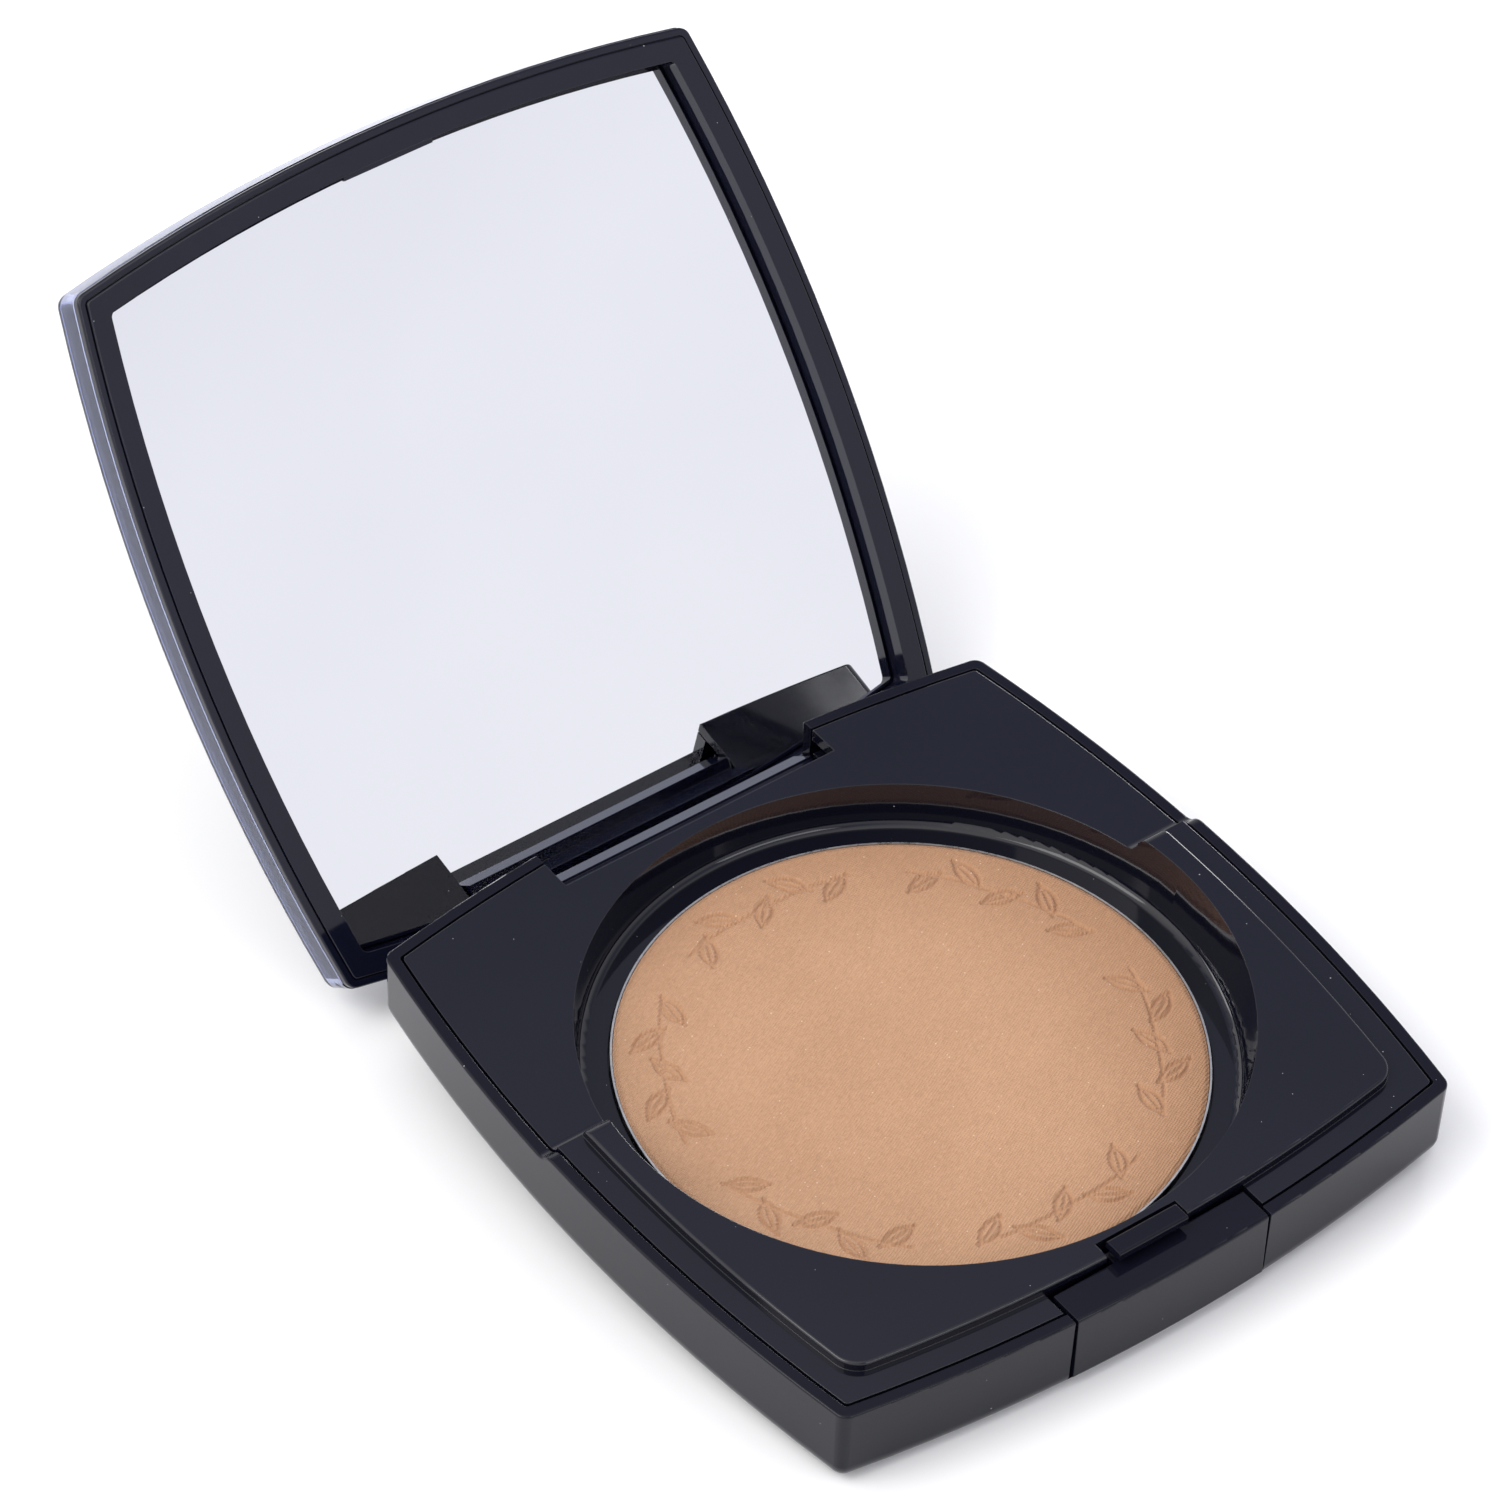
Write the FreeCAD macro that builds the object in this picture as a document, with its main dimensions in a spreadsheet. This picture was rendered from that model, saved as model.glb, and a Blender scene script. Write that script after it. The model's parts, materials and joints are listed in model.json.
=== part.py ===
"""Square pressed-powder compact with bowed sides, hinged mirror lid and push-button latch.

The base and the lid are designed in one closed-compact frame: X along the hinge, -Y the button
side, Z up, z = 0 on the underside of the base.  The lid is then swung open about the hinge, and
the whole compact is set down as it stands on a table, on the front edge of its base and on the
rear edge of the open lid.
"""
import FreeCAD, Part
import math
import os

import Sketcher
from FreeCAD import Placement, Rotation, Vector

DIMENSIONS = {
    # outline of the compact, seen from above
    "half_wide": 40.0,        # centre to the middle of the left or right side
    "half_deep": 40.2,        # centre to the middle of the front or rear side
    "side_curve": 213.2,      # radius of the bowed left and right sides
    "end_curve": 200.9,       # radius of the bowed front and rear sides
    "corner": 1.4,
    # base shell
    "rim_front": 9.6,         # height of the rim on the front half
    "rim_rear": 8.5,          # height of the rim on the rear half
    "ramp_front": 4.6,        # the rim steps down between these two places
    "ramp_rear": 7.1,
    "rim_wide": 1.3,
    "wall_draft": 1.5,
    "bottom_round": 2.2,
    "rim_round": 0.22,
    "seam_round": 0.12,
    "floor_thick": 1.2,
    "label_radius": 17.0,
    "label_thick": 0.12,
    # deck insert
    "seam": 0.3,
    "deck_under": 7.1,
    "panel_inset": 4.4,
    "panel_height": 1.0,
    "panel_corner": 3.0,
    "panel_round": 0.3,
    "well_radius": 33.15,
    "well_foot": 32.35,
    "well_cove": 0.9,
    "well_wall": 0.7,
    "well_ledge": 3.4,
    "recess_radius": 29.45,
    "recess_floor": 1.9,
    "slot_front": 34.4,
    "slot_half": 16.6,
    # powder pan
    "pan_radius": 29.28,
    "pan_wall": 0.2,
    "pan_floor": 2.05,
    "pan_top": 3.95,
    "powder_top": 4.15,
    "glue_radius": 9.0,
    # push button
    "button_half": 11.5,
    "button_gap": 0.35,
    "button_rear": 36.05,
    "button_room": 35.2,
    "button_under": 1.5,
    "lug_front": 38.15,
    "hook_half": 4.15,
    "hook_under": 10.45,
    "hook_top": 11.3,
    "hook_rear": 34.55,
    "hook_stem": 0.85,
    "hook_lip": 36.7,
    "notch_half": 4.85,
    "notch_rear": 33.85,
    "spring_place": 8.0,
    "spring_height": 5.0,
    "spring_curve": 17.4,
    "spring_thick": 0.2,
    "spring_seat": 33.3,
    # hinge
    "hinge_deep": 36.92,
    "hinge_high": 3.08,
    "barrel_radius": 2.2,
    "barrel_half": 16.2,
    "block_low": 2.0,
    "block_high": 5.5,
    "tongue_front": 35.9,
    "pin_radius": 0.6,
    "pin_play": 0.05,
    "pin_inner": 11.0,
    "pin_outer": 24.0,
    "open_angle": 129.3,
    # lid
    "lid_plane": 9.8,
    "face_inset": 1.0,
    "flange_inset": 0.08,
    "flange_low": 9.95,
    "flange_high": 10.9,
    "groove_wide": 0.15,
    "groove_deep": 0.35,
    "shell_low": 10.95,
    "shell_wall": 0.9,
    "shell_round": 1.3,
    "line_low": 11.45,        # fine line cut round the frame's outer wall
    "line_high": 11.6,
    "line_inset": 1.35,
    "channel_low": 12.0,      # glue channel round the frame's outer wall
    "channel_high": 13.7,
    "channel_inset": 1.8,
    "opening_inset": 3.25,
    "mirror_front": 12.4,
    "mirror_thick": 1.3,
    "mirror_gap": 0.12,
    "bevel": 0.45,
    "tape_thick": 0.15,
    "tape_inset": 7.0,
    "frame_back": 14.45,
    "inlay_thick": 0.3,
    "lid_back": 15.55,
    "catch_half": 5.3,
    "catch_deep": 36.45,
    "catch_thick": 0.55,
}

doc = FreeCAD.newDocument("compact")
sheet = doc.addObject("Spreadsheet::Sheet", "sheet")
for row, (alias, number) in enumerate(DIMENSIONS.items(), start=1):
    sheet.set(f"A{row}", alias)
    sheet.set(f"B{row}", str(number))
    sheet.setAlias(f"B{row}", alias)
doc.recompute()


class Size:
    """A length with the expression that ties it to the sheet."""

    def __init__(self, text, number):
        self.text = text
        self.number = number

    def __add__(self, other):
        other = as_size(other)
        return Size(f"({self.text} + {other.text})", self.number + other.number)

    def __sub__(self, other):
        other = as_size(other)
        return Size(f"({self.text} - {other.text})", self.number - other.number)

    def __mul__(self, factor):
        return Size(f"({self.text} * {factor})", self.number * factor)

    def __neg__(self):
        return self * -1


def as_size(thing):
    return thing if isinstance(thing, Size) else Size(f"({thing})", float(thing))


def cell(alias):
    return Size(f"sheet.{alias}", DIMENSIONS[alias])


def bind(thing, prop, size, unit="mm"):
    """Ties a property of a document object to the sheet."""
    thing.setExpression(prop, f"{as_size(size).text} * 1 {unit}")


# ---------------------------------------------------------------- sketches and simple features

def new_body(label):
    body = doc.addObject("PartDesign::Body", label)
    body.Label = label
    return body


def sketch_on(body, role, name, lift=0):
    """A sketch on one of the body's origin planes, lifted along that plane's normal."""
    sketch = body.newObject("Sketcher::SketchObject", name)
    plane = [f for f in body.Origin.OriginFeatures if f.Role == role][0]
    sketch.AttachmentSupport = [(plane, "")]
    sketch.MapMode = "FlatFace"
    bind(sketch, ".AttachmentOffset.Base.z", lift)
    return sketch


def measure(sketch, kind, where, size, name):
    """Adds a dimension to a sketch and ties it to the sheet."""
    index = sketch.addConstraint(Sketcher.Constraint(kind, *where, as_size(size).number))
    sketch.renameConstraint(index, name)
    bind(sketch, f"Constraints.{name}", size)


def corner_centre(wide, deep, side, end, corner):
    """Centre of the corner arc that rounds the meeting of a side arc and an end arc."""
    side_x, end_y = wide - side, deep - end
    reach_side, reach_end = side - corner, end - corner
    apart = math.hypot(side_x, end_y)
    along = (reach_side**2 - reach_end**2 + apart**2) / (2 * apart)
    across = math.sqrt(reach_side**2 - along**2)
    step = Vector(-side_x, end_y, 0) / apart
    return Vector(side_x, 0, 0) + step * along + Vector(-step.y, step.x, 0) * across


def bowed_outline(body, name, lift, inset, corner):
    """The compact's bowed square, moved in by inset: four long arcs and four corner arcs."""
    inset = as_size(inset)
    wide, deep = cell("half_wide") - inset, cell("half_deep") - inset
    side, end = cell("side_curve") - inset, cell("end_curve") - inset
    corner = as_size(corner)
    sketch = sketch_on(body, "XY_Plane", name, lift)
    place = corner_centre(wide.number, deep.number, side.number, end.number, corner.number)
    lean = math.atan2(place.y, place.x - (wide.number - side.number))
    rise = math.atan2(place.y - (deep.number - end.number), place.x)
    up = Vector(0, 0, 1)
    quarter = math.pi / 2
    spots = [
        (Vector(wide.number - side.number, 0, 0), side.number, -lean, lean),
        (place, corner.number, lean, rise),
        (Vector(0, deep.number - end.number, 0), end.number, rise, 2 * quarter - rise),
        (Vector(-place.x, place.y, 0), corner.number, 2 * quarter - rise, 2 * quarter - lean),
        (Vector(side.number - wide.number, 0, 0), side.number, 2 * quarter - lean, 2 * quarter + lean),
        (Vector(-place.x, -place.y, 0), corner.number, 2 * quarter + lean, 2 * quarter + rise),
        (Vector(0, end.number - deep.number, 0), end.number, 2 * quarter + rise, 4 * quarter - rise),
        (Vector(place.x, -place.y, 0), corner.number, 4 * quarter - rise, 4 * quarter - lean),
    ]
    for centre, radius, first, last in spots:
        sketch.addGeometry(Part.ArcOfCircle(Part.Circle(centre, up, radius), first, last), False)
    for arc in range(8):
        sketch.addConstraint(Sketcher.Constraint("Tangent", arc, 2, (arc + 1) % 8, 1))
    for arc, axis in ((0, -1), (2, -2), (4, -1), (6, -2)):
        sketch.addConstraint(Sketcher.Constraint("PointOnObject", arc, 3, axis))
    measure(sketch, "Radius", (0,), side, "side_right")
    measure(sketch, "Radius", (4,), side, "side_left")
    measure(sketch, "Radius", (2,), end, "end_rear")
    measure(sketch, "Radius", (6,), end, "end_front")
    measure(sketch, "DistanceX", (0, 3, -1, 1), side - wide, "reach_right")
    measure(sketch, "DistanceX", (-1, 1, 4, 3), side - wide, "reach_left")
    measure(sketch, "DistanceY", (2, 3, -1, 1), end - deep, "reach_rear")
    measure(sketch, "DistanceY", (-1, 1, 6, 3), end - deep, "reach_front")
    for arc in (1, 3, 5, 7):
        measure(sketch, "Radius", (arc,), corner, f"corner_{arc}")
    return sketch


def pad(body, sketch, length, name, down=False, taper=0):
    feature = body.newObject("PartDesign::Pad", name)
    feature.Profile = sketch
    bind(feature, "Length", length)
    feature.Reversed = down
    if taper:
        bind(feature, "TaperAngle", -cell(taper), "deg")
    sketch.Visibility = False
    return feature


def layer(body, name, low, high, inset):
    """Slab with the compact's outline, drawn in by inset, between two heights."""
    return pad(body, bowed_outline(body, name, low, inset, 0.6), high - low, f"{name}_pad")


def pocket(body, sketch, depth, name):
    """Cuts upwards from the sketch, along +Z, by depth."""
    feature = body.newObject("PartDesign::Pocket", name)
    feature.Profile = sketch
    bind(feature, "Length", depth)
    feature.Reversed = True
    return feature


def box(body, kind, name, low, high):
    """An added ("Additive") or removed ("Subtractive") box between two corners."""
    feature = body.newObject(f"PartDesign::{kind}Box", name)
    low, high = [as_size(v) for v in low], [as_size(v) for v in high]
    for prop, lower, upper in zip(("Length", "Width", "Height"), low, high):
        bind(feature, prop, upper - lower)
    for axis, place in zip("xyz", low):
        bind(feature, f".Placement.Base.{axis}", place)
    return feature


def disc(body, kind, name, radius, low, high, x=0, y=0):
    """An added or removed upright cylinder."""
    feature = body.newObject(f"PartDesign::{kind}Cylinder", name)
    bind(feature, "Radius", radius)
    bind(feature, "Height", as_size(high) - low)
    for axis, place in zip("xyz", (x, y, low)):
        bind(feature, f".Placement.Base.{axis}", place)
    return feature


def rod(body, kind, name, radius, left, right):
    """An added or removed cylinder on the hinge line."""
    feature = body.newObject(f"PartDesign::{kind}Cylinder", name)
    bind(feature, "Radius", radius)
    bind(feature, "Height", as_size(right) - left)
    feature.Placement = Placement(Vector(), Rotation(Vector(0, 1, 0), 90))
    for axis, place in zip("xyz", (left, cell("hinge_deep"), cell("hinge_high"))):
        bind(feature, f".Placement.Base.{axis}", place)
    return feature


def round_edges(body, base, name, radius, chosen, kind="Fillet"):
    """Rounds or chamfers the edges of base that chosen(edge) picks."""
    doc.recompute()
    edges = [f"Edge{i}" for i, edge in enumerate(base.Shape.Edges, start=1) if chosen(edge)]
    feature = body.newObject(f"PartDesign::{kind}", name)
    feature.Base = (base, edges)
    bind(feature, "Radius" if kind == "Fillet" else "Size", radius)
    return feature


def all_at_height(height):
    def chosen(edge):
        return abs(edge.BoundBox.ZMin - height) < 1e-4 and abs(edge.BoundBox.ZMax - height) < 1e-4
    return chosen


def step_cut(body, name, high, low, top):
    """Cuts away all above a smooth step that goes from high, in front, down to low, behind."""
    high, low, top = as_size(high), as_size(low), as_size(top)
    front, rear, far = cell("ramp_front"), cell("ramp_rear"), cell("half_deep") + 5
    sketch = sketch_on(body, "YZ_Plane", name + "_profile", -(cell("half_wide") + 5))
    run, drop = rear.number - front.number, high.number - low.number
    curve = (run**2 + drop**2) / (4 * drop)
    turn = 2 * math.atan2(drop, run)
    up, right = Vector(0, 0, 1), math.pi / 2
    crest = Part.Circle(Vector(front.number, high.number - curve, 0), up, curve)
    trough = Part.Circle(Vector(rear.number, low.number + curve, 0), up, curve)
    sketch.addGeometry(Part.ArcOfCircle(crest, right - turn, right), False)
    sketch.addGeometry(Part.ArcOfCircle(trough, 3 * right - turn, 3 * right), False)
    ends = [
        Vector(rear.number, low.number, 0),
        Vector(far.number, low.number, 0),
        Vector(far.number, top.number, 0),
        Vector(front.number, top.number, 0),
        Vector(front.number, high.number, 0),
    ]
    for start, stop in zip(ends, ends[1:]):
        sketch.addGeometry(Part.LineSegment(start, stop), False)
    rules = [
        ("Tangent", 0, 1, 1, 1), ("Tangent", 1, 2, 2, 1), ("Horizontal", 2),
        ("Coincident", 2, 2, 3, 1), ("Vertical", 3), ("Coincident", 3, 2, 4, 1),
        ("Horizontal", 4), ("Coincident", 4, 2, 5, 1), ("Vertical", 5),
        ("Coincident", 5, 2, 0, 2), ("Vertical", 0, 3, 0, 2), ("Equal", 0, 1),
    ]
    for rule in rules:
        sketch.addConstraint(Sketcher.Constraint(*rule))
    measure(sketch, "DistanceX", (-1, 1, 0, 2), front, "crest_place")
    measure(sketch, "DistanceY", (-1, 1, 0, 2), high, "crest_height")
    measure(sketch, "DistanceX", (-1, 1, 1, 2), rear, "trough_place")
    measure(sketch, "DistanceY", (-1, 1, 1, 2), low, "trough_height")
    measure(sketch, "DistanceX", (-1, 1, 3, 1), far, "far_place")
    measure(sketch, "DistanceY", (-1, 1, 4, 2), top, "top_height")
    return pocket(body, sketch, (cell("half_wide") + 5) * 2, name)


# ---------------------------------------------------------------- base

def rim_edges(edge):
    """Edges along the top of a wall, but not the cross lines at the ends of the step."""
    limits = edge.BoundBox
    return limits.ZMin > DIMENSIONS["rim_rear"] - 0.01 and limits.YLength > 0.05


def base_shell():
    """Outer bowl of the base, open at the button, at the hinge and at the top."""
    body = new_body("base_shell")
    outline = bowed_outline(body, "outline", cell("rim_front"), 0, cell("corner"))
    block = pad(body, outline, cell("rim_front"), "block", down=True, taper="wall_draft")
    smooth = round_edges(body, block, "bottom_round", cell("bottom_round"), all_at_height(0))
    stepped = step_cut(body, "rear_step", cell("rim_front"), cell("rim_rear"), cell("rim_front") + 5)
    round_edges(body, stepped, "rim_outside", cell("rim_round"), rim_edges)
    inside = bowed_outline(body, "inside", cell("floor_thick"), cell("rim_wide"), 0.5)
    pocket(body, inside, cell("rim_front") * 2, "cavity")
    gap = cell("button_half") + cell("button_gap")
    box(body, "Subtractive", "button_opening",
        (-gap, -(cell("half_deep") + 3), cell("button_under") - 0.3),
        (gap, -cell("slot_front"), cell("rim_front") + 3))
    box(body, "Subtractive", "hinge_opening",
        (-cell("slot_half"), cell("slot_front"), -3),
        (cell("slot_half"), cell("half_deep") + 3, cell("rim_front") + 3))
    for side, name in ((-1, "left"), (1, "right")):
        ends = sorted((cell("slot_half") * side, (cell("slot_half") + 8) * side), key=lambda s: s.number)
        box(body, "Additive", f"boss_{name}",
            (ends[0], cell("slot_front") - 0.2, cell("floor_thick") - 0.2),
            (ends[1], cell("half_deep") - 2.6, cell("hinge_high") + 2.4))
        ends = sorted((cell("pin_inner") * side, cell("pin_outer") * side), key=lambda s: s.number)
        rod(body, "Subtractive", f"pin_bore_{name}", cell("pin_radius"), ends[0], ends[1])
    disc(body, "Subtractive", "label_recess", cell("label_radius") + 0.3, -1, cell("label_thick"))
    return body


def deck_insert():
    """Inner tray: flush rear deck, raised front panel and the round well that holds the pan."""
    body = new_body("deck_insert")
    edge = cell("rim_wide") + cell("seam")
    panel_top = cell("rim_front") + cell("panel_height")
    plate = bowed_outline(body, "plate", cell("deck_under"), edge, 0.5)
    pad(body, plate, cell("rim_front") - cell("deck_under"), "plate_pad")
    panel = bowed_outline(body, "panel", cell("rim_front") - 0.5, cell("panel_inset"), cell("panel_corner"))
    pad(body, panel, cell("panel_height") + 0.5, "panel_pad")
    step_cut(body, "rear_step", panel_top, cell("rim_rear"), panel_top + 5)
    outer = cell("well_radius") + cell("well_wall")
    disc(body, "Additive", "well_outside", outer, cell("floor_thick"), cell("deck_under") + 0.6)
    skirt_low = (-cell("slot_half"), cell("slot_front") - cell("well_wall"), cell("floor_thick"))
    skirt_high = (cell("slot_half"), cell("slot_front"), cell("deck_under") + 0.6)
    box(body, "Additive", "hinge_skirt", skirt_low, skirt_high)
    for side, name in ((-1, "left"), (1, "right")):
        middle = cell("spring_place") * side
        tray = box(body, "Additive", f"spring_seat_{name}",
            (middle - 1.6, -cell("spring_seat"), cell("spring_height") - 1.6),
            (middle + 1.6, -(cell("spring_seat") - 1.6), cell("spring_height") + 1.6))

    def panel_edges(edge):
        return all_at_height(panel_top.number)(edge) and edge.BoundBox.YLength > 0.05

    round_edges(body, tray, "panel_edges", cell("panel_round"), panel_edges)
    well = body.newObject("PartDesign::SubtractiveCone", "well")
    bind(well, "Radius1", cell("well_foot"))
    bind(well, "Radius2", cell("well_radius"))
    bind(well, "Height", panel_top - cell("well_ledge"))
    bind(well, ".Placement.Base.z", cell("well_ledge"))

    def foot(edge):
        return all_at_height(DIMENSIONS["well_ledge"])(edge) and edge.Length > 50

    round_edges(body, well, "well_cove", cell("well_cove"), foot)
    disc(body, "Subtractive", "pan_recess", cell("recess_radius"), cell("recess_floor"), cell("well_ledge") + 2)
    box(body, "Subtractive", "hinge_slot",
        (-cell("slot_half"), cell("slot_front"), 0),
        (cell("slot_half"), cell("half_deep") + 3, panel_top + 2))
    gap = cell("button_half") + cell("button_gap") + 0.2
    box(body, "Subtractive", "button_room",
        (-gap, -(cell("half_deep") + 3), 0),
        (gap, -cell("button_room"), cell("rim_front") + 0.15))
    box(body, "Subtractive", "hook_notch",
        (-cell("notch_half"), -(cell("half_deep")), cell("deck_under") - 1),
        (cell("notch_half"), -cell("notch_rear"), panel_top + 2))
    return body


def powder_pan():
    """Thin metal godet."""
    body = new_body("powder_pan")
    disc(body, "Additive", "tin", cell("pan_radius"), cell("pan_floor"), cell("pan_top"))
    disc(body, "Subtractive", "hollow", cell("pan_radius") - cell("pan_wall"),
         cell("pan_floor") + cell("pan_wall"), cell("pan_top") + 1)
    return body


def pressed_powder():
    body = new_body("pressed_powder")
    disc(body, "Additive", "cake", cell("pan_radius") - cell("pan_wall"),
         cell("pan_floor") + cell("pan_wall"), cell("powder_top"))
    return body


def pan_glue():
    """Adhesive disc under the pan."""
    body = new_body("pan_glue")
    disc(body, "Additive", "dot", cell("glue_radius"), cell("recess_floor"), cell("pan_floor"))
    return body


def bottom_label():
    """Blank paper label in its recess under the base."""
    body = new_body("bottom_label")
    disc(body, "Additive", "paper", cell("label_radius"), 0, cell("label_thick"))
    return body


def push_button():
    """Front button with its standing hook and the two lugs that keep it in the shell."""
    body = new_body("push_button")
    half = cell("button_half")
    front = bowed_outline(body, "front", cell("button_under"), 0, cell("corner"))
    block = pad(body, front, cell("rim_front") - cell("button_under"), "block")
    far = cell("half_wide") + 5
    for name, low, high in (
        ("trim_left", (-far, -far, 0), (-half, far, 20)),
        ("trim_right", (half, -far, 0), (far, far, 20)),
        ("trim_rear", (-far, -cell("button_rear"), 0), (far, far, 20)),
    ):
        block = box(body, "Subtractive", name, low, high)

    def front_edges(edge):
        spot = edge.BoundBox
        return spot.YMax < -DIMENSIONS["button_rear"] - 3 and spot.XLength > 10

    round_edges(body, block, "front_round", 0.35, front_edges)
    box(body, "Additive", "web",
        (-cell("hook_half"), -cell("button_rear") - 0.5, 8.3),
        (cell("hook_half"), -cell("hook_rear"), cell("rim_front") - 0.15))
    box(body, "Additive", "stem",
        (-cell("hook_half") + 0.5, -cell("hook_rear") - cell("hook_stem"), 8.4),
        (cell("hook_half") - 0.5, -cell("hook_rear"), cell("hook_top") - 0.2))
    bar = box(body, "Additive", "bar",
              (-cell("hook_half"), -cell("hook_lip"), cell("hook_under")),
              (cell("hook_half"), -cell("hook_rear"), cell("hook_top")))

    def bar_top(edge):
        return all_at_height(DIMENSIONS["hook_top"])(edge) and edge.BoundBox.XLength > 3

    round_edges(body, bar, "bar_round", 0.3, bar_top)
    for side, name in ((-1, "left"), (1, "right")):
        ends = sorted((half * side - 0.5 * side, (half + 3.5) * side), key=lambda s: s.number)
        box(body, "Additive", f"lug_{name}",
            (ends[0], -cell("lug_front"), cell("button_under") + 0.6),
            (ends[1], -cell("lug_front") + 1.5, 6.6))
    return body


def button_spring():
    """Bowed steel leaf: its middle presses on the button, its ends stand on the tray's two seats."""
    body = new_body("button_spring")
    curve, thick = cell("spring_curve"), cell("spring_thick")
    low, high = cell("spring_height") - 1.5, cell("spring_height") + 1.5
    middle = curve - cell("button_rear")
    disc(body, "Additive", "outside", curve, low, high, y=middle)
    disc(body, "Subtractive", "inside", curve - thick, low - 1, high + 1, y=middle)
    far = curve * 2 + 5
    box(body, "Subtractive", "ends", (-far, -cell("spring_seat"), 0), (far, far, 20))
    return body


def hinge_pin(name, side):
    """Short steel pin, pressed into the base and free to turn in the lid's barrel."""
    body = new_body(name)
    ends = sorted((cell("pin_inner") * side, cell("pin_outer") * side), key=lambda s: s.number)
    rod(body, "Additive", "pin", cell("pin_radius"), ends[0], ends[1])
    return body


# ---------------------------------------------------------------- lid, as closed

def lid_frame():
    """Black lid frame: flat face, outer flange, mirror recess, hinge block and the hook's catch."""
    body = new_body("lid_frame")
    flange = bowed_outline(body, "flange", cell("flange_low"), cell("flange_inset"), 1.3)
    ring = pad(body, flange, cell("flange_high") - cell("flange_low"), "flange_pad")
    round_edges(body, ring, "flange_round", cell("rim_round"), all_at_height(DIMENSIONS["flange_low"]))
    groove = bowed_outline(body, "groove", cell("flange_low") - 1, cell("face_inset") - cell("groove_wide"), 0.7)
    pocket(body, groove, cell("groove_deep") + 1, "groove_cut")
    face = bowed_outline(body, "face", cell("lid_plane"), cell("face_inset"), 0.6)
    block = pad(body, face, cell("line_low") - cell("lid_plane"), "block")
    round_edges(body, block, "face_round", cell("seam_round"), all_at_height(DIMENSIONS["lid_plane"]))
    layer(body, "line", cell("line_low"), cell("line_high"), cell("line_inset"))
    layer(body, "rib", cell("line_high"), cell("channel_low"), cell("face_inset"))
    layer(body, "channel", cell("channel_low"), cell("channel_high"), cell("channel_inset"))
    layer(body, "back", cell("channel_high"), cell("frame_back"), cell("face_inset"))
    opening = bowed_outline(body, "opening", cell("lid_plane") - 1, cell("opening_inset"), 0.8)
    seat = cell("mirror_front") + cell("mirror_thick") + cell("tape_thick")
    pocket(body, opening, seat - cell("lid_plane") + 1, "mirror_recess")
    box(body, "Additive", "catch",
        (-cell("catch_half"), -(cell("half_deep") - cell("opening_inset") + 0.3), cell("lid_plane") + 0.05),
        (cell("catch_half"), -cell("catch_deep"), cell("lid_plane") + cell("catch_thick")))
    half = cell("barrel_half")
    rod(body, "Additive", "barrel", cell("barrel_radius"), -half, half)
    front = cell("hinge_deep") - cell("barrel_radius")
    rear = cell("half_deep") - 1.2
    box(body, "Additive", "block_front",
        (-half, front, cell("block_low")), (half, cell("hinge_deep"), cell("block_high")))
    box(body, "Additive", "block_rear",
        (-half, cell("hinge_deep") - 0.5, cell("hinge_high")), (half, rear, cell("block_high")))
    box(body, "Additive", "tongue",
        (-half, cell("tongue_front"), cell("block_high") - 0.2), (half, rear, cell("lid_plane") + 0.5))
    for side, name in ((-1, "left"), (1, "right")):
        ends = sorted(((cell("pin_inner") - 0.4) * side, (half + 1) * side), key=lambda s: s.number)
        rod(body, "Subtractive", f"pin_bore_{name}", cell("pin_radius") + cell("pin_play"), ends[0], ends[1])
    return body


def mirror():
    """Bevelled glass mirror, in its recess with a small gap all round."""
    body = new_body("mirror")
    inset = cell("opening_inset") + cell("mirror_gap")
    outline = bowed_outline(body, "outline", cell("mirror_front"), inset, 0.7)
    glass = pad(body, outline, cell("mirror_thick"), "glass")
    round_edges(body, glass, "bevel", cell("bevel"), all_at_height(DIMENSIONS["mirror_front"]), "Chamfer")
    return body


def mirror_tape():
    """Double-sided tape between mirror and frame."""
    body = new_body("mirror_tape")
    back = cell("mirror_front") + cell("mirror_thick")
    outline = bowed_outline(body, "outline", back, cell("tape_inset"), 2)
    pad(body, outline, cell("tape_thick"), "film")
    return body


def lid_inlay():
    """Lacquered plate that shows through the clear lid shell."""
    body = new_body("lid_inlay")
    outline = bowed_outline(body, "outline", cell("frame_back"), cell("face_inset"), 0.6)
    pad(body, outline, cell("inlay_thick"), "plate")
    return body


def lid_shell():
    """Clear acrylic outer shell of the lid."""
    body = new_body("lid_shell")
    low = cell("shell_low")
    outline = bowed_outline(body, "outline", low, 0, cell("corner"))
    block = pad(body, outline, cell("lid_back") - low, "block")
    round_edges(body, block, "back_round", cell("shell_round"), all_at_height(DIMENSIONS["lid_back"]))
    hollow = bowed_outline(body, "hollow", low - 1, cell("shell_wall"), 0.9)
    inner_back = cell("frame_back") + cell("inlay_thick")
    pocket(body, hollow, inner_back - low + 1, "inside")
    return body


# ---------------------------------------------------------------- assembly

def swung_open():
    """Moves the closed lid to its open stop, about the hinge line."""
    hinge = Vector(0, DIMENSIONS["hinge_deep"], DIMENSIONS["hinge_high"])
    return Placement(Vector(), Rotation(Vector(1, 0, 0), -DIMENSIONS["open_angle"]), hinge)


def reach(pieces, place):
    """Bounding box of the placed pieces."""
    limits = FreeCAD.BoundBox()
    for piece in pieces:
        limits.add(piece.Shape.transformed(place.toMatrix()).BoundBox)
    return limits


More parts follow.
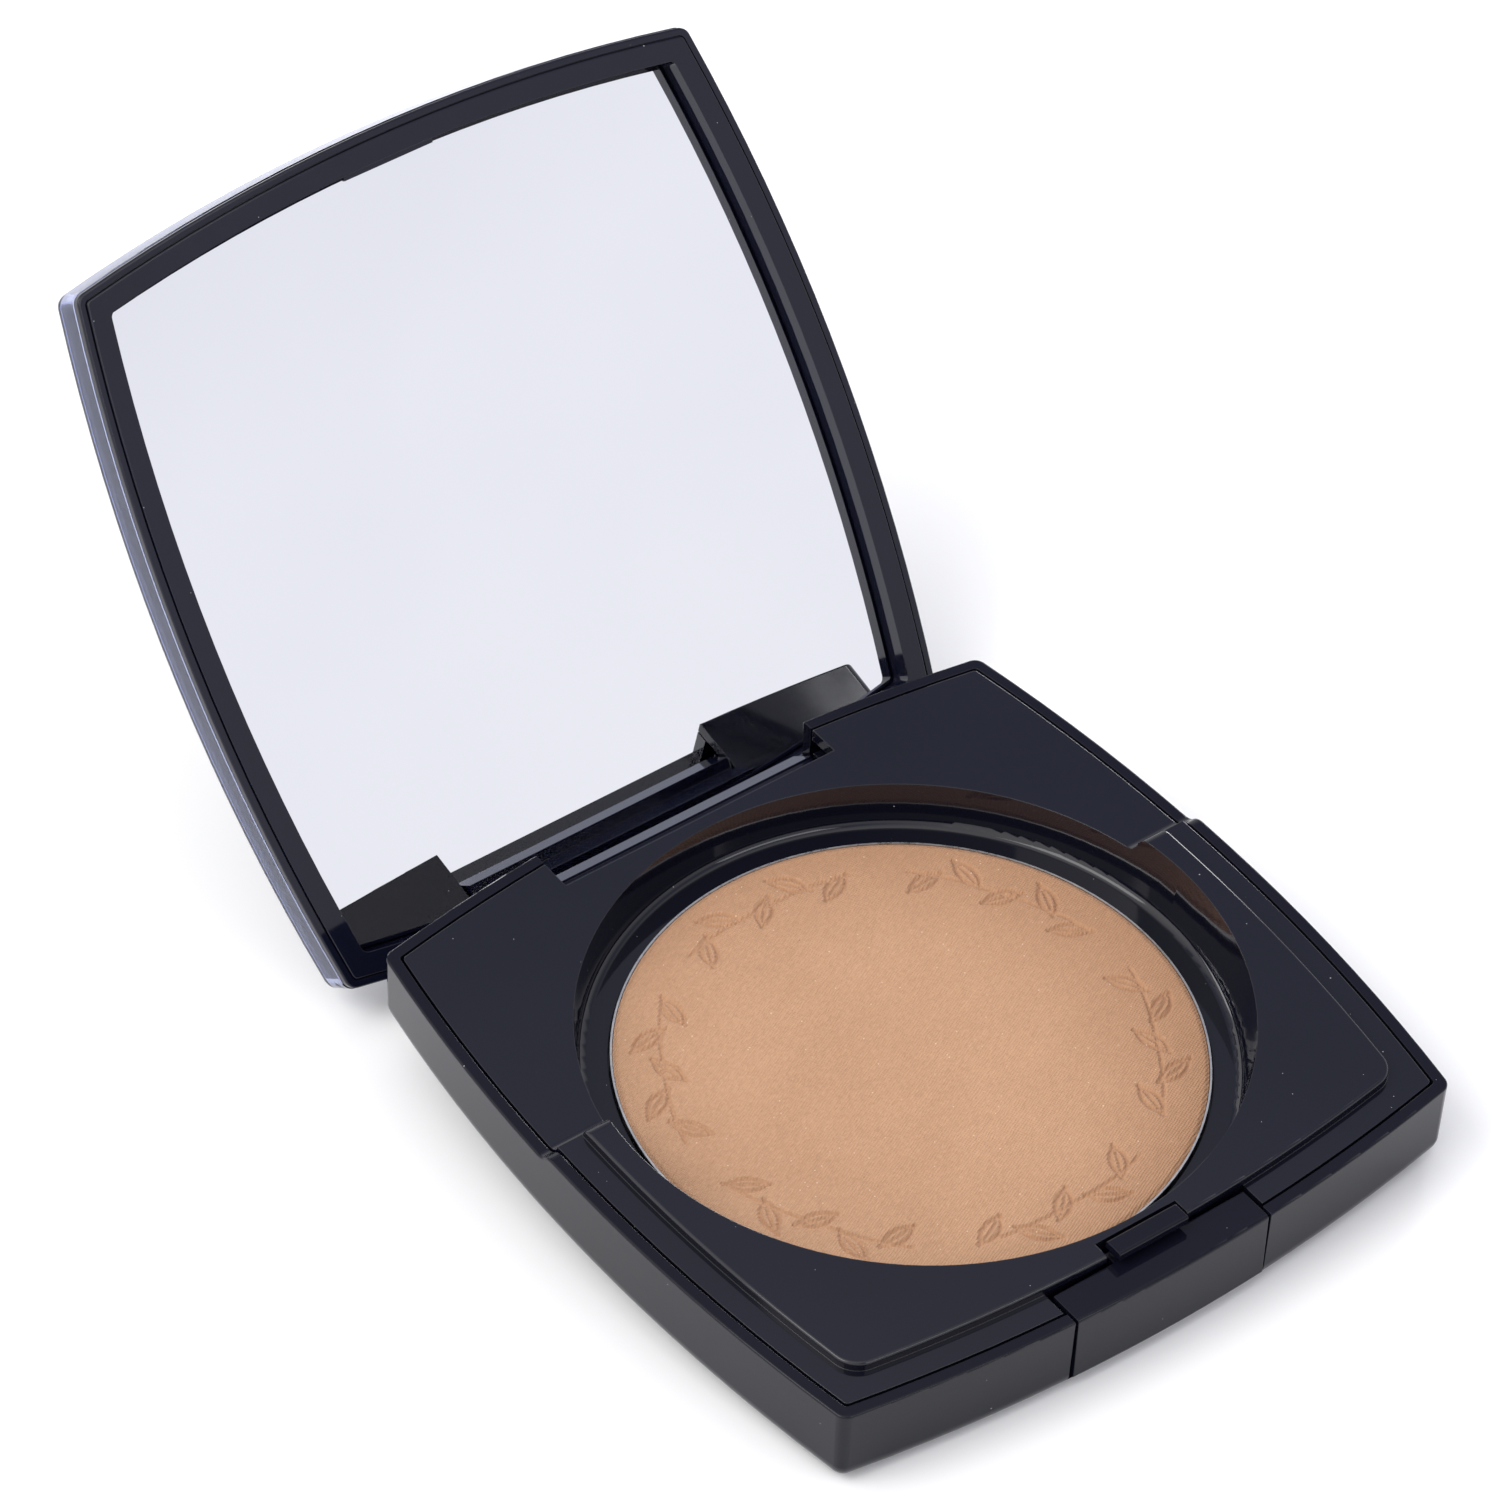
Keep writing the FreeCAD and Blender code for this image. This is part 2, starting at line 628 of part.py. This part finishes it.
def standing(base, lid):
    """Tilts the open compact until base and lid both touch the table (z = 0), centred on the origin."""
    lean = 0.0
    for _ in range(4):
        tilted = Placement(Vector(), Rotation(Vector(1, 0, 0), lean))
        below = reach(base, tilted).ZMin - reach(lid, tilted * swung_open()).ZMin
        lean += math.degrees(math.atan2(below, 2 * DIMENSIONS["half_deep"]))
    tilted = Placement(Vector(), Rotation(Vector(1, 0, 0), lean))
    limits = reach(base, tilted)
    limits.add(reach(lid, tilted * swung_open()))
    return Placement(Vector(0, -limits.Center.y, -limits.ZMin), Rotation()) * tilted


base_pieces = [
    base_shell(), deck_insert(), powder_pan(), pressed_powder(), pan_glue(), bottom_label(),
    push_button(), button_spring(),
    hinge_pin("hinge_pin_left", -1), hinge_pin("hinge_pin_right", 1),
]
lid_pieces = [lid_frame(), mirror(), mirror_tape(), lid_inlay(), lid_shell()]
doc.recompute()

stand = standing(base_pieces, lid_pieces)
for piece in base_pieces:
    piece.Placement = stand * piece.Placement
for piece in lid_pieces:
    piece.Placement = stand * swung_open()
doc.recompute()

failed = [thing.Name for thing in doc.Objects if "Invalid" in thing.State or "Error" in thing.State]
if failed:
    raise RuntimeError(f"features failed: {failed}")

os.makedirs("parts", exist_ok=True)
for piece in base_pieces + lid_pieces:
    shape = piece.Shape
    if shape.isNull() or not shape.isValid() or len(shape.Solids) != 1:
        raise RuntimeError(f"{piece.Label} is not one valid solid: {len(shape.Solids)} solids")
    shape.exportStep(f"parts/{piece.Label}.step")
    limits = shape.BoundBox
    print(f"{piece.Label:22s} volume {shape.Volume:9.2f}  z {limits.ZMin:7.2f} to {limits.ZMax:7.2f}"
          f"  y {limits.YMin:7.2f} to {limits.YMax:7.2f}")
print("stand", list(stand.Base), stand.Rotation.Angle)
print("lowest base", round(reach(base_pieces, Placement()).ZMin, 4),
      "lowest lid", round(reach(lid_pieces, Placement()).ZMin, 4))
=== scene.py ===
"""Looks of the open powder compact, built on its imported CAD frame."""

import json
import math

import bmesh
import bpy
from mathutils import Matrix, Vector, noise as field


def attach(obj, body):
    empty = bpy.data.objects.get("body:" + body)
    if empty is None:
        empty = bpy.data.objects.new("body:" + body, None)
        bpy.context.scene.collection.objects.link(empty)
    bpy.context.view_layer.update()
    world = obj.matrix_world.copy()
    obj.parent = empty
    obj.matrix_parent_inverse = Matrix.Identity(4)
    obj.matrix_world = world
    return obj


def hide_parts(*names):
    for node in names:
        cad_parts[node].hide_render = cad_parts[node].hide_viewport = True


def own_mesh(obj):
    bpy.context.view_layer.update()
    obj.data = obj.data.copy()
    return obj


MM = 0.001

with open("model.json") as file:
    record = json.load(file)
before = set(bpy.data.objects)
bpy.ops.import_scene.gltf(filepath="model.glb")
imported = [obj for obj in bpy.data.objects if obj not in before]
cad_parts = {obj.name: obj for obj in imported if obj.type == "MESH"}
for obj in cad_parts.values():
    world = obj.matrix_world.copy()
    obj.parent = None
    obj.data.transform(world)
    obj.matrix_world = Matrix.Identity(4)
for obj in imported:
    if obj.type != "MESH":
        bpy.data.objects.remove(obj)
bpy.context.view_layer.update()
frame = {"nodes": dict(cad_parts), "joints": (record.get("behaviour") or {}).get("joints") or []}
nodes = frame["nodes"]
joints = {joint["name"]: joint for joint in frame["joints"]}

# ---------------------------------------------------------------- the base's own axes
# The base stands tilted.  Its axes come from the button's slide and from the hinge, whose place in
# the base's own axes (X right, Y to the rear, Z up, origin under the middle of the pan) is known.
HINGE_IN_BASE = Vector((0, 36.92, 3.08)) * MM

rearward = Vector(joints["button_push"]["axis"])
tilt = Matrix.Rotation(math.atan2(rearward.z, rearward.y), 4, "X")
base_place = Matrix.Translation(Vector(joints["lid_hinge"]["pos_m"]) - tilt @ HINGE_IN_BASE) @ tilt

OPEN_ANGLE = math.radians(129.3)
lid_outward = tilt.to_3x3() @ Matrix.Rotation(-OPEN_ANGLE, 3, "X") @ Vector((0, 0, 1))

# ---------------------------------------------------------------- node helpers


def new_material(name, **settings):
    """A material with one Principled shader whose plain sockets are set from settings."""
    material = bpy.data.materials.new(name)
    material.use_nodes = True
    shader = material.node_tree.nodes["Principled BSDF"]
    for socket, value in settings.items():
        shader.inputs[socket.replace("_", " ")].default_value = value
    return material, material.node_tree, shader


def add(tree, kind, inputs=None, **attributes):
    """A shader node; an input that is a socket is linked, any other is a plain value."""
    node = tree.nodes.new("ShaderNode" + kind)
    for name, value in attributes.items():
        setattr(node, name, value)
    for socket, value in (inputs or {}).items():
        if isinstance(value, bpy.types.NodeSocket):
            tree.links.new(value, node.inputs[socket])
        else:
            node.inputs[socket].default_value = value
    return node


def place(tree):
    """Coordinates in metres, fixed to the object."""
    return add(tree, "TexCoord").outputs["Object"]


def noise(tree, where, scale, detail=3.0, rough=0.5):
    """Soft clouds of about 0 to 1; scale is in clouds per metre."""
    settings = {"Vector": where, "Scale": scale, "Detail": detail, "Roughness": rough}
    return add(tree, "TexNoise", settings).outputs["Fac"]


def remap(tree, value, low, high, to_low, to_high):
    """value, held between low and high and scaled to run from to_low to to_high."""
    settings = {"Value": value, "From Min": low, "From Max": high}
    settings.update({"To Min": to_low, "To Max": to_high})
    return add(tree, "MapRange", settings).outputs["Result"]


def maths(tree, operation, first, second):
    return add(tree, "Math", {0: first, 1: second}, operation=operation).outputs[0]


def blend_colour(tree, share, first, second):
    """first where share is 0, second where it is 1."""
    mix = add(tree, "Mix", data_type="RGBA")
    for socket, value in ((0, share), (6, first), (7, second)):
        if isinstance(value, bpy.types.NodeSocket):
            tree.links.new(value, mix.inputs[socket])
        else:
            mix.inputs[socket].default_value = value
    return mix.outputs[2]


def bump(tree, shader, height, distance, strength=1.0, edge=0.0):
    """Relief from a height; edge is the radius that sharp edges seem to be broken to."""
    node = add(tree, "Bump", {"Height": height, "Distance": distance, "Strength": strength})
    if edge:
        broken = add(tree, "Bevel", {"Radius": edge}, samples=6)
        tree.links.new(broken.outputs["Normal"], node.inputs["Normal"])
    tree.links.new(node.outputs["Normal"], shader.inputs["Normal"])


def specks(tree, where, spacing, radius, share):
    """1 on scattered dots: radius is a part of spacing, share the part of cells with a dot."""
    cells = add(tree, "TexVoronoi", {"Vector": where, "Scale": 1 / spacing, "Randomness": 1.0})
    near = remap(tree, cells.outputs["Distance"], radius * 0.6, radius, 1.0, 0.0)
    chance = add(tree, "SeparateColor", {"Color": cells.outputs["Color"]}).outputs["Red"]
    return maths(tree, "MULTIPLY", near, maths(tree, "LESS_THAN", chance, share))


def scaled(colour, factor):
    """A colour with its brightness multiplied, still opaque."""
    return [channel * factor for channel in colour[:3]] + [1]


# ---------------------------------------------------------------- materials
EDGE_BREAK = 0.13 * MM                    # the mouldings' sharp edges seem broken to this radius
DUST = (0.55, 0.55, 0.57, 1)
DUST_SIZES = ((2.6 * MM, 0.034, 1.0), (1.2 * MM, 0.050, 0.7))   # spacing, radius, share


def gloss_black(name, colour, roughness, dust, index=1.5):
    """Polished black moulding: faint flow marks, uneven polish and a little settled dust."""
    material, tree, shader = new_material(name, IOR=index)
    where = place(tree)
    cloud = noise(tree, where, 60, 4)
    large, small = (
        specks(tree, where, spacing, radius, dust * share) for spacing, radius, share in DUST_SIZES
    )
    dot = maths(tree, "MAXIMUM", large, small)
    deep = blend_colour(tree, cloud, colour, scaled(colour, 1.6))
    tint = blend_colour(tree, maths(tree, "MULTIPLY", dot, 0.55), deep, DUST)
    tree.links.new(tint, shader.inputs["Base Color"])
    uneven = noise(tree, where, 180, 5, 0.6)
    polish = remap(tree, uneven, 0.3, 0.7, roughness * 0.7, roughness * 1.5)
    dull = maths(tree, "ADD", polish, maths(tree, "MULTIPLY", dot, 0.5))
    tree.links.new(dull, shader.inputs["Roughness"])
    bump(tree, shader, noise(tree, where, 350, 2), 0.01 * MM, 0.06, edge=EDGE_BREAK)
    return material


TAN_DEEP = (0.420, 0.232, 0.130, 1)
TAN_PALE = (0.590, 0.344, 0.206, 1)
# painted shade: the darker tan painted towards the powder's rim
TAN_PAINTED_SHADE = (0.30, 0.135, 0.062, 1)
FLECK = (0.95, 0.78, 0.60, 1)
DARK_GRAIN = (0.18, 0.09, 0.05, 1)
CLOTH_TURN = 1.15                         # angle of the press cloth's threads, in radians
CLOTH_THREADS = ((CLOTH_TURN, 0.55), (CLOTH_TURN + math.pi / 2, 0.25))   # angle, depth share


def powder_material():
    """Matte tan powder with fine press grain, a woven press cloth mark and tiny shimmer flecks;
    painted shade makes its colour darker towards the rim, most of all on the right.
    """
    material, tree, shader = new_material("powder", IOR=1.45, Specular_IOR_Level=0.25)
    shader.inputs["Sheen Weight"].default_value = 0.12
    shader.inputs["Sheen Roughness"].default_value = 0.5
    where = place(tree)
    # painted shade: the tan is painted darker with distance from a spot left of the middle, most of
    # all at the right rim
    painted_light_place = base_place @ PAINTED_LIGHT_SPOT
    away = add(tree, "VectorMath", {0: where, 1: painted_light_place}, operation="DISTANCE").outputs["Value"]
    painted_shade = remap(tree, away, CAKE_RADIUS * 0.75, CAKE_RADIUS * 1.25, 0.0, 1.0)
    patch = noise(tree, where, 90, 5, 0.6)
    grain = noise(tree, where, 2600, 4, 0.7)
    mottle = maths(tree, "ADD", maths(tree, "MULTIPLY", patch, 0.5), grain)
    tan = blend_colour(tree, remap(tree, mottle, 0.4, 1.1, 0.0, 1.0), TAN_DEEP, TAN_PALE)
    tan = blend_colour(tree, maths(tree, "MULTIPLY", painted_shade, 0.33), tan, TAN_PAINTED_SHADE)
    fleck = specks(tree, where, 0.9 * MM, 0.10, 0.35)
    dark = specks(tree, where, 3.5 * MM, 0.030, 0.25)
    tan = blend_colour(tree, maths(tree, "MULTIPLY", fleck, 0.55), tan, FLECK)
    tan = blend_colour(tree, maths(tree, "MULTIPLY", dark, 0.6), tan, DARK_GRAIN)
    tree.links.new(tan, shader.inputs["Base Color"])
    tree.links.new(remap(tree, fleck, 0, 1, 0.78, 0.35), shader.inputs["Roughness"])
    height = grain
    for turn, share in CLOTH_THREADS:
        turned = add(tree, "VectorRotate", {"Vector": where, "Angle": turn}, rotation_type="Z_AXIS")
        weave = {"Vector": turned.outputs[0], "Scale": 1150, "Distortion": 3.0, "Detail": 2}
        thread = add(tree, "TexWave", weave).outputs["Fac"]
        height = maths(tree, "ADD", height, maths(tree, "MULTIPLY", thread, share))
    bump(tree, shader, height, 0.09 * MM, 0.9)
    return material


SILVER_HAZY = (0.925, 0.930, 0.955, 1)
SILVER_CLEAR = (0.945, 0.950, 0.970, 1)


def mirror_material():
    """Silvered glass with the faintest haze."""
    material, tree, shader = new_material("mirror_glass", Metallic=1.0)
    where = place(tree)
    haze = remap(tree, noise(tree, where, 45, 4), 0.3, 0.7, 0.0, 1.0)
    silver = blend_colour(tree, haze, SILVER_HAZY, SILVER_CLEAR)
    tree.links.new(silver, shader.inputs["Base Color"])
    tree.links.new(remap(tree, haze, 0, 1, 0.004, 0.012), shader.inputs["Roughness"])
    return material


SMOKE_DEEP = (0.46, 0.50, 0.72, 1)
SMOKE_PALE = (0.50, 0.54, 0.76, 1)
SHELL_SHINE = (0.40, 0.48, 0.85, 1)


def acrylic_material():
    """Clear acrylic with a slight smoke-blue tint and polishing haze."""
    material, tree, shader = new_material("clear_acrylic", IOR=1.42, Transmission_Weight=1.0)
    shader.inputs["Specular Tint"].default_value = SHELL_SHINE
    where = place(tree)
    cloud = noise(tree, where, 70, 3)
    clear = blend_colour(tree, cloud, SMOKE_DEEP, SMOKE_PALE)
    tree.links.new(clear, shader.inputs["Base Color"])
    tree.links.new(remap(tree, cloud, 0.3, 0.7, 0.002, 0.010), shader.inputs["Roughness"])
    return material


def metal_material(name, colour, roughness, stretch):
    """Rolled or drawn metal: fine lines along one direction."""
    material, tree, shader = new_material(name, Metallic=1.0)
    lines = add(tree, "Mapping", {"Vector": place(tree), "Scale": stretch}).outputs[0]
    mark = noise(tree, lines, 900, 4, 0.6)
    tone = blend_colour(tree, mark, scaled(colour, 0.82), colour)
    tree.links.new(tone, shader.inputs["Base Color"])
    dull = remap(tree, mark, 0.3, 0.7, roughness * 0.7, roughness * 1.4)
    tree.links.new(dull, shader.inputs["Roughness"])
    bump(tree, shader, mark, 0.01 * MM, 0.3)
    return material


def soft_material(name, colour, scale, depth):
    """Matte fibrous or foamed surface."""
    material, tree, shader = new_material(name, IOR=1.45)
    grain = noise(tree, place(tree), scale, 5, 0.65)
    tone = blend_colour(tree, grain, scaled(colour, 0.86), colour)
    tree.links.new(tone, shader.inputs["Base Color"])
    tree.links.new(remap(tree, grain, 0.3, 0.7, 0.6, 0.85), shader.inputs["Roughness"])
    bump(tree, shader, grain, depth, 0.6)
    return material


NAVY_BLACK = (0.0034, 0.0036, 0.0078, 1)
FRAME_BLACK = (0.0034, 0.0039, 0.0105, 1)
LACQUER_BLACK = (0.0022, 0.0024, 0.0060, 1)
STEEL = (0.62, 0.62, 0.62, 1)
ALONG_X = (0.05, 1, 1)                    # stretches the marks of rolling or drawing along X
LOOKS = {
    "base_shell": gloss_black("base_black", NAVY_BLACK, 0.08, 0.14, 1.33),
    "deck_insert": gloss_black("deck_black", NAVY_BLACK, 0.05, 0.20),
    "push_button": gloss_black("button_black", NAVY_BLACK, 0.07, 0.16, 1.33),
    "lid_frame": gloss_black("frame_black", FRAME_BLACK, 0.07, 0.22, 1.42),
    "lid_shell": acrylic_material(),
    "mirror": mirror_material(),
    "powder_pan": metal_material("pan_metal", (0.70, 0.69, 0.68, 1), 0.28, (1, 1, 0.05)),
    "hinge_pin_left": metal_material("pin_steel", (0.60, 0.60, 0.61, 1), 0.25, ALONG_X),
    "pan_glue": soft_material("glue", (0.72, 0.70, 0.62, 1), 300, 0.10 * MM),
    "mirror_tape": soft_material("tape", (0.80, 0.80, 0.78, 1), 1500, 0.10 * MM),
    "bottom_label": soft_material("label_paper", (0.80, 0.80, 0.78, 1), 1200, 0.04 * MM),
}
LOOKS["hinge_pin_right"] = LOOKS["hinge_pin_left"]


def dress(piece, material):
    """Give a piece one material."""
    piece.data.materials.clear()
    piece.data.materials.append(material)


for node, material in LOOKS.items():
    for slot in nodes[node].material_slots:
        slot.material = material

# ---------------------------------------------------------------- pressed powder
CAKE_RADIUS = 29.02 * MM
CAKE_LOW = 2.28 * MM
CAKE_TOP = 4.12 * MM
PAINTED_LIGHT_SPOT = Vector((-8.0, -1.0, 4.12)) * MM   # painted shade: the powder's colour is painted lightest here and darker away from it
MOTIF_RADIUS = 24.7 * MM
SPRIG_COUNT = 6                           # sprigs round the cake, with a gap between them
SPRIG_SHARE = 0.80                        # share of the ring that the sprigs fill
SPRIG_LEAVES = 5
LEAF_OFFSET = 0.95 * MM                   # a leaf's middle stands this far off the stem
LEAF_LEAN = 0.75                          # a leaf's angle to the stem, in radians
PRESS_DEPTH = 0.34 * MM
CAKE_SPOKES = 1080


def smooth(edge0, edge1, value):
    """0 at edge0, 1 at edge1 and an S-shaped rise between them."""
    share = min(max((value - edge0) / (edge1 - edge0), 0.0), 1.0)
    return share * share * (3 - 2 * share)


def groove(distance, width):
    """1 in the middle of a groove, 0 from its edge on."""
    return 1 - smooth(width * 0.35, width, abs(distance))


def leaf(x, y):
    """Depth share of one plain leaf outline with a midrib, centred on the origin and along X."""
    long, wide = 2.05 * MM, 0.80 * MM
    if abs(x) > long + 0.4 * MM:
        return 0.0
    side = wide * (1 - min(abs(x) / long, 1.0) ** 2)
    outline = groove(abs(y) - side, 0.27 * MM)
    rib = groove(y, 0.20 * MM) * smooth(long * 0.9, long * 0.6, abs(x))
    return max(outline, rib * 0.8)


def press_mark(x, y):
    """Share of the press depth at a place on the powder: leaf sprigs on a curved stem."""
    radius, turn = math.hypot(x, y), math.atan2(y, x)
    sector = 2 * math.pi / SPRIG_COUNT
    within = (turn + math.pi) % sector / sector - 0.5
    if abs(radius - MOTIF_RADIUS) > 3.2 * MM or abs(within) > SPRIG_SHARE / 2 + 0.06:
        return 0.0
    along = within * sector * MOTIF_RADIUS
    across = radius - MOTIF_RADIUS
    end = smooth(SPRIG_SHARE / 2, SPRIG_SHARE / 2 - 0.03, abs(within))
    mark = groove(across + 0.5 * MM * math.cos(within * 2 * math.pi), 0.22 * MM) * end * 0.8
    pitch = SPRIG_SHARE * sector * MOTIF_RADIUS / SPRIG_LEAVES
    for number in range(SPRIG_LEAVES):
        side = 1 if number % 2 else -1
        dx = along - (number - (SPRIG_LEAVES - 1) / 2) * pitch
        dy = across - side * LEAF_OFFSET
        cosine, sine = math.cos(LEAF_LEAN * side), math.sin(LEAF_LEAN * side)
        mark = max(mark, leaf(dx * cosine + dy * sine, dy * cosine - dx * sine))
    return mark


def powder_height(x, y):
    """Height of the cake's top, with its leaves, its swell and its crumbled edge."""
    radius = math.hypot(x, y)
    dome = -0.05 * MM * (radius / CAKE_RADIUS) ** 2
    crumble = 0.5 + 0.5 * field.noise(Vector((x, y, 0)) * 1900)
    edge = smooth(CAKE_RADIUS - (0.30 + 0.35 * crumble) * MM, CAKE_RADIUS, radius)
    swell = 0.012 * MM * field.noise(Vector((x, y, 0)) * 450)
    return CAKE_TOP + dome + swell - 0.20 * MM * edge - PRESS_DEPTH * press_mark(x, y)


def ring_radii():
    """Rings of the top, close together where the leaves are and at the crumbled edge."""
    inner, outer = MOTIF_RADIUS - 3.4 * MM, MOTIF_RADIUS + 3.4 * MM
    bands = ((0, inner, 24), (inner, outer, 56), (outer, CAKE_RADIUS, 9))
    radii = []
    for low, high, steps in bands:
        radii += [low + (high - low) * (step + 1) / steps for step in range(steps)]
    return radii


def powder_cake():
    """The pressed cake: a closed disc whose top carries the pressed ring of leaves."""
    work = bmesh.new()
    middle = work.verts.new((0, 0, powder_height(0, 0)))
    rows = []
    for radius in ring_radii():
        row = []
        for spoke in range(CAKE_SPOKES):
            turn = 2 * math.pi * spoke / CAKE_SPOKES
            x, y = radius * math.cos(turn), radius * math.sin(turn)
            row.append(work.verts.new((x, y, powder_height(x, y))))
        rows.append(row)
    rows.append([work.verts.new((v.co.x, v.co.y, CAKE_LOW)) for v in rows[-1]])
    under = work.verts.new((0, 0, CAKE_LOW))
    for spoke in range(CAKE_SPOKES):
        after = (spoke + 1) % CAKE_SPOKES
        work.faces.new((middle, rows[0][spoke], rows[0][after]))
        work.faces.new((under, rows[-1][after], rows[-1][spoke]))
        for inner, outer in zip(rows, rows[1:]):
            work.faces.new((inner[spoke], outer[spoke], outer[after], inner[after]))
    for face in work.faces:
        face.smooth = True
    mesh = bpy.data.meshes.new("powder_cake")
    work.to_mesh(mesh)
    work.free()
    mesh.transform(base_place)
    piece = bpy.data.objects.new("powder_cake", mesh)
    bpy.context.scene.collection.objects.link(piece)
    return piece


cake = powder_cake()
dress(cake, powder_material())
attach(cake, "base")
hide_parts("pressed_powder")

# ---------------------------------------------------------------- lacquered plate and leaf spring
BOND = 0.02 * MM                          # the plate sits this deep in the shell, as if bonded


def stand_in(node, name, body, shift=Vector()):
    """A piece with a CAD node's shape that takes the node's place in the picture."""
    mesh = nodes[node].data.copy()
    mesh.name = name
    mesh.transform(Matrix.Translation(shift))
    piece = bpy.data.objects.new(name, mesh)
    bpy.context.scene.collection.objects.link(piece)
    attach(piece, body)
    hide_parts(node)
    return piece


plate = stand_in("lid_inlay", "lacquer_plate", "lid", lid_outward * BOND)
dress(plate, gloss_black("lacquer", LACQUER_BLACK, 0.25, 0.0, 1.08))

spring = stand_in("button_spring", "leaf_spring", "base")
dress(spring, metal_material("spring_steel", STEEL, 0.25, ALONG_X))
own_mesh(spring)

# ---------------------------------------------------------------- floor, light, camera
FLOOR_REACH = 3.0
CARD_DIM = (0.93, 0.93, 0.935, 1)
CARD_BRIGHT = (0.95, 0.95, 0.955, 1)
GLOW_WAY = Vector((-0.80, 0.10, 0.60)).normalized()
GLOW = (1.7, 1.68, 1.66, 1)
SKY_STOPS = (                             # height, then the studio's colour there
    (0.0, (1.0, 1.0, 1.0, 1)),
    (0.40, (0.90, 0.905, 0.97, 1)),
    (0.74, (0.33, 0.355, 0.47, 1)),
    (1.0, (1.4, 1.38, 1.36, 1)),
)


def floor_piece():
    """Plain white card under the object."""
    material, tree, shader = new_material("floor_card", Roughness=0.9)
    tone = noise(tree, place(tree), 3, 2)
    card = blend_colour(tree, tone, CARD_DIM, CARD_BRIGHT)
    tree.links.new(card, shader.inputs["Base Color"])
    shader.inputs["Specular IOR Level"].default_value = 0.1
    mesh = bpy.data.meshes.new("floor")
    low, high = -FLOOR_REACH, FLOOR_REACH
    corners = [(low, low, 0), (high, low, 0), (high, high, 0), (low, high, 0)]
    mesh.from_pydata(corners, [], [(0, 1, 2, 3)])
    floor = bpy.data.objects.new("floor", mesh)
    bpy.context.scene.collection.objects.link(floor)
    dress(floor, material)


def soft_sky():
    """White walls that dim to slate higher up, a bright ceiling overhead and a glow on the left."""
    world = bpy.data.worlds.new("studio")
    bpy.context.scene.world = world
    world.use_nodes = True
    tree = world.node_tree
    way = add(tree, "TexCoord").outputs["Generated"]
    height = add(tree, "SeparateXYZ", {0: way}).outputs["Z"]
    ramp = add(tree, "ValToRGB", {0: height})
    while len(ramp.color_ramp.elements) < len(SKY_STOPS):
        ramp.color_ramp.elements.new(0.5)
    for element, (spot, colour) in zip(ramp.color_ramp.elements, SKY_STOPS):
        element.position = spot
        element.color = colour
    toward = add(tree, "VectorMath", {0: way, 1: GLOW_WAY}, operation="DOT_PRODUCT")
    glow = remap(tree, toward.outputs["Value"], 0.45, 0.92, 0.0, 1.0)
    walls = blend_colour(tree, glow, ramp.outputs["Color"], GLOW)
    tree.links.new(walls, tree.nodes["Background"].inputs["Color"])
    tree.nodes["Background"].inputs["Strength"].default_value = 0.95


def softbox(name, spot, aim, size, power):
    """A white rectangular area light at spot that faces aim."""
    light = bpy.data.lights.new(name, "AREA")
    light.shape = "RECTANGLE"
    light.size, light.size_y = size
    light.energy = power
    lamp = bpy.data.objects.new(name, light)
    lamp.location = spot
    lamp.rotation_mode = "QUATERNION"
    lamp.rotation_quaternion = (Vector(aim) - Vector(spot)).to_track_quat("-Z", "Y")
    bpy.context.scene.collection.objects.link(lamp)


CAMERA_SPOT = Vector((-341.4, -393.6, 554.3)) * MM
CAMERA_RIGHT = Vector((0.79857, -0.60075, 0.03728))
CAMERA_UP = Vector((0.39964, 0.57551, 0.71349))
CAMERA_BACK = Vector((-0.45009, -0.55487, 0.69967))
LENS = 187.1                              # in mm, for the sensor's width
SENSOR_WIDTH = 36


def camera():
    """The camera; its place and axes are given in the base's own axes."""
    data = bpy.data.cameras.new("camera")
    data.lens = LENS
    data.sensor_width = SENSOR_WIDTH
    data.clip_start, data.clip_end = 0.05, 20
    turned = Matrix((CAMERA_RIGHT, CAMERA_UP, CAMERA_BACK)).transposed().to_4x4()
    shot = bpy.data.objects.new("camera", data)
    shot.matrix_world = base_place @ Matrix.Translation(CAMERA_SPOT) @ turned
    bpy.context.scene.collection.objects.link(shot)
    bpy.context.scene.camera = shot


floor_piece()
soft_sky()
softbox("key", (-0.9, 0.1, 1.2), (0, 0, 0), (0.8, 0.8), 7)
softbox("front", (0.3, -1.3, 1.1), (0, 0, 0), (0.9, 0.5), 4)
softbox("window", (0.98, 0.68, 0.32), (0, -0.02, 0), (0.30, 0.40), 4)
camera()
bpy.context.scene.view_settings.view_transform = "Standard"
